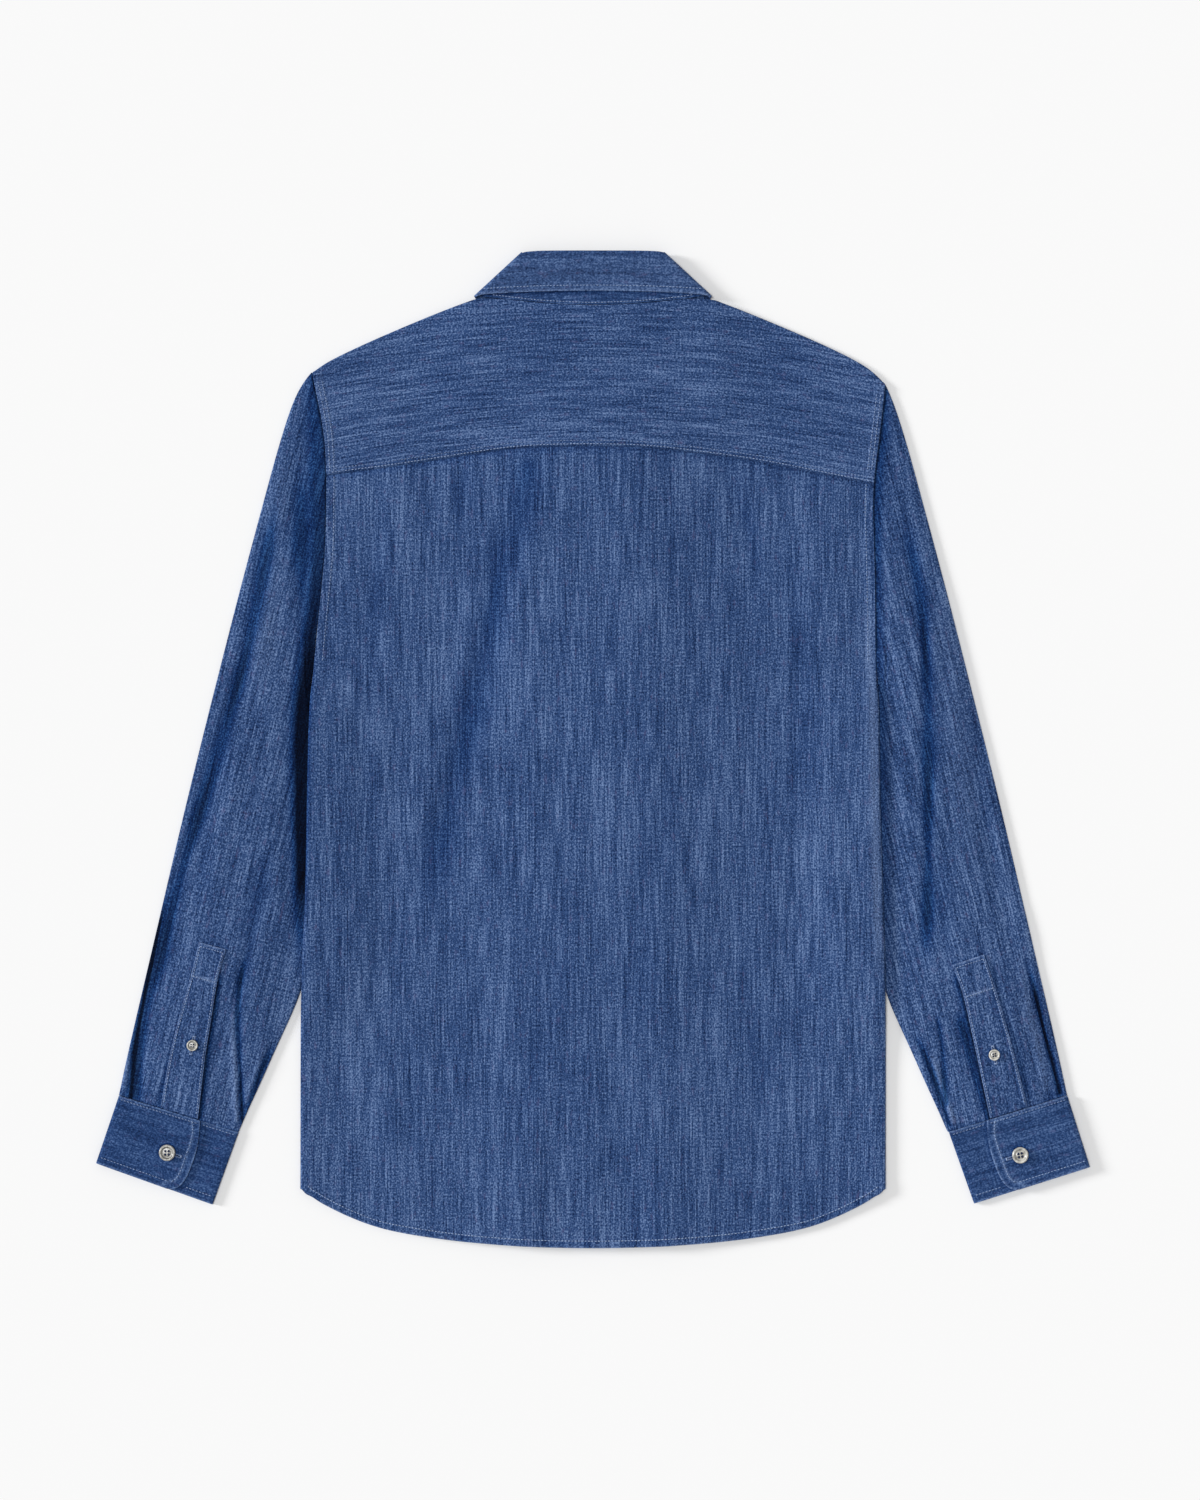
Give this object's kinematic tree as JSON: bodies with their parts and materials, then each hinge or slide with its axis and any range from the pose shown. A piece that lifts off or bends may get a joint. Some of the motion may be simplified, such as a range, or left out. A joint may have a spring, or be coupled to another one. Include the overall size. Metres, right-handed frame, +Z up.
{
  "type": "denim shirt",
  "caption": "Long-sleeved denim shirt with a pointed collar, shoulder yoke, curved hem and buttoned cuffs, buttoned up and laid flat with its back up.",
  "frame": {"origin": "on the surface it lies on, under the middle of the laid-out shirt", "axes": "+Z up out of the surface, through the back of the shirt; +Y towards the collar; -X towards the wearer's left sleeve"},
  "size_m": [0.7759, 0.7775, 0.01],
  "materials": {
    "denim": "washed mid-blue denim with slub yarns, matt",
    "button_shell": "smoky grey shell, polished"
  },
  "bodies": {
    "root": {"back": "denim", "yoke": "denim", "front_left": "denim", "front_right": "denim", "front_placket": "denim", "sleeve_left": "denim", "sleeve_right": "denim", "sleeve_placket_left": "denim", "sleeve_placket_right": "denim", "cuff_left": "denim", "cuff_right": "denim", "collar_stand": "denim", "collar_leaf": "denim", "button_cuff_left": "button_shell", "button_cuff_right": "button_shell", "button_sleeve_left": "button_shell", "button_sleeve_right": "button_shell", "button_stand": "button_shell", "button_front_1": "button_shell", "button_front_2": "button_shell", "button_front_3": "button_shell", "button_front_4": "button_shell", "button_front_5": "button_shell", "button_front_6": "button_shell"}
  },
  "joints": []
}
